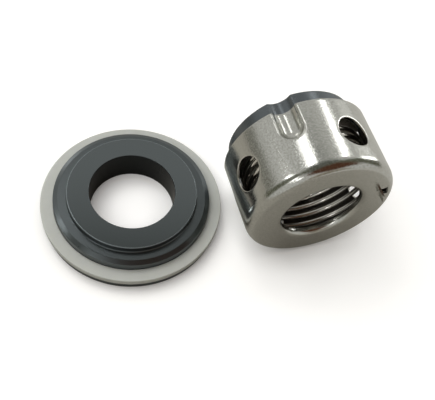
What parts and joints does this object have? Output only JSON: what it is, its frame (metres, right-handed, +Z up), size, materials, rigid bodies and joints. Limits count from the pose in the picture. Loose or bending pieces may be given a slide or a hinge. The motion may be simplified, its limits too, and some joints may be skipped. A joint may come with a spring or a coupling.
{
  "type": "mechanical seal",
  "caption": "Mechanical shaft seal set: dark stationary seat ring with pale gasket, and rotary head with pressed steel housing, coil spring and sliding seal ring.",
  "frame": {"origin": "middle of the seat's bore on the table that both halves rest on", "axes": "+Z up along the seat's bore out of its lapped face; +Y level, along the rotary head's axis out of its sliding ring; +X from the seat towards the head"},
  "size_m": [0.1401, 0.0791, 0.063],
  "materials": {
    "dark_ceramic": "lapped silicon carbide",
    "pale_gasket": "smooth translucent gasket",
    "pressed_steel": "tumbled pressed stainless steel",
    "spring_wire": "drawn stainless spring wire",
    "washer_steel": "stamped stainless steel",
    "black_rubber": "smooth black rubber",
    "grey_ceramic": "ground silicon carbide"
  },
  "bodies": {
    "set": {"seat_ring": "dark_ceramic", "seat_gasket": "pale_gasket", "housing": "pressed_steel", "spring": "spring_wire"},
    "sliding_face": {"thrust_washer": "washer_steel", "o_ring": "black_rubber", "seal_ring": "grey_ceramic"}
  },
  "joints": [
    {"name": "face_travel", "type": "slide", "parent": "set", "child": "sliding_face", "axis": [0, -1, 0], "range_m": [0, 0.004], "stiffness_N_per_m": 420, "deforming": ["spring"]}
  ]
}
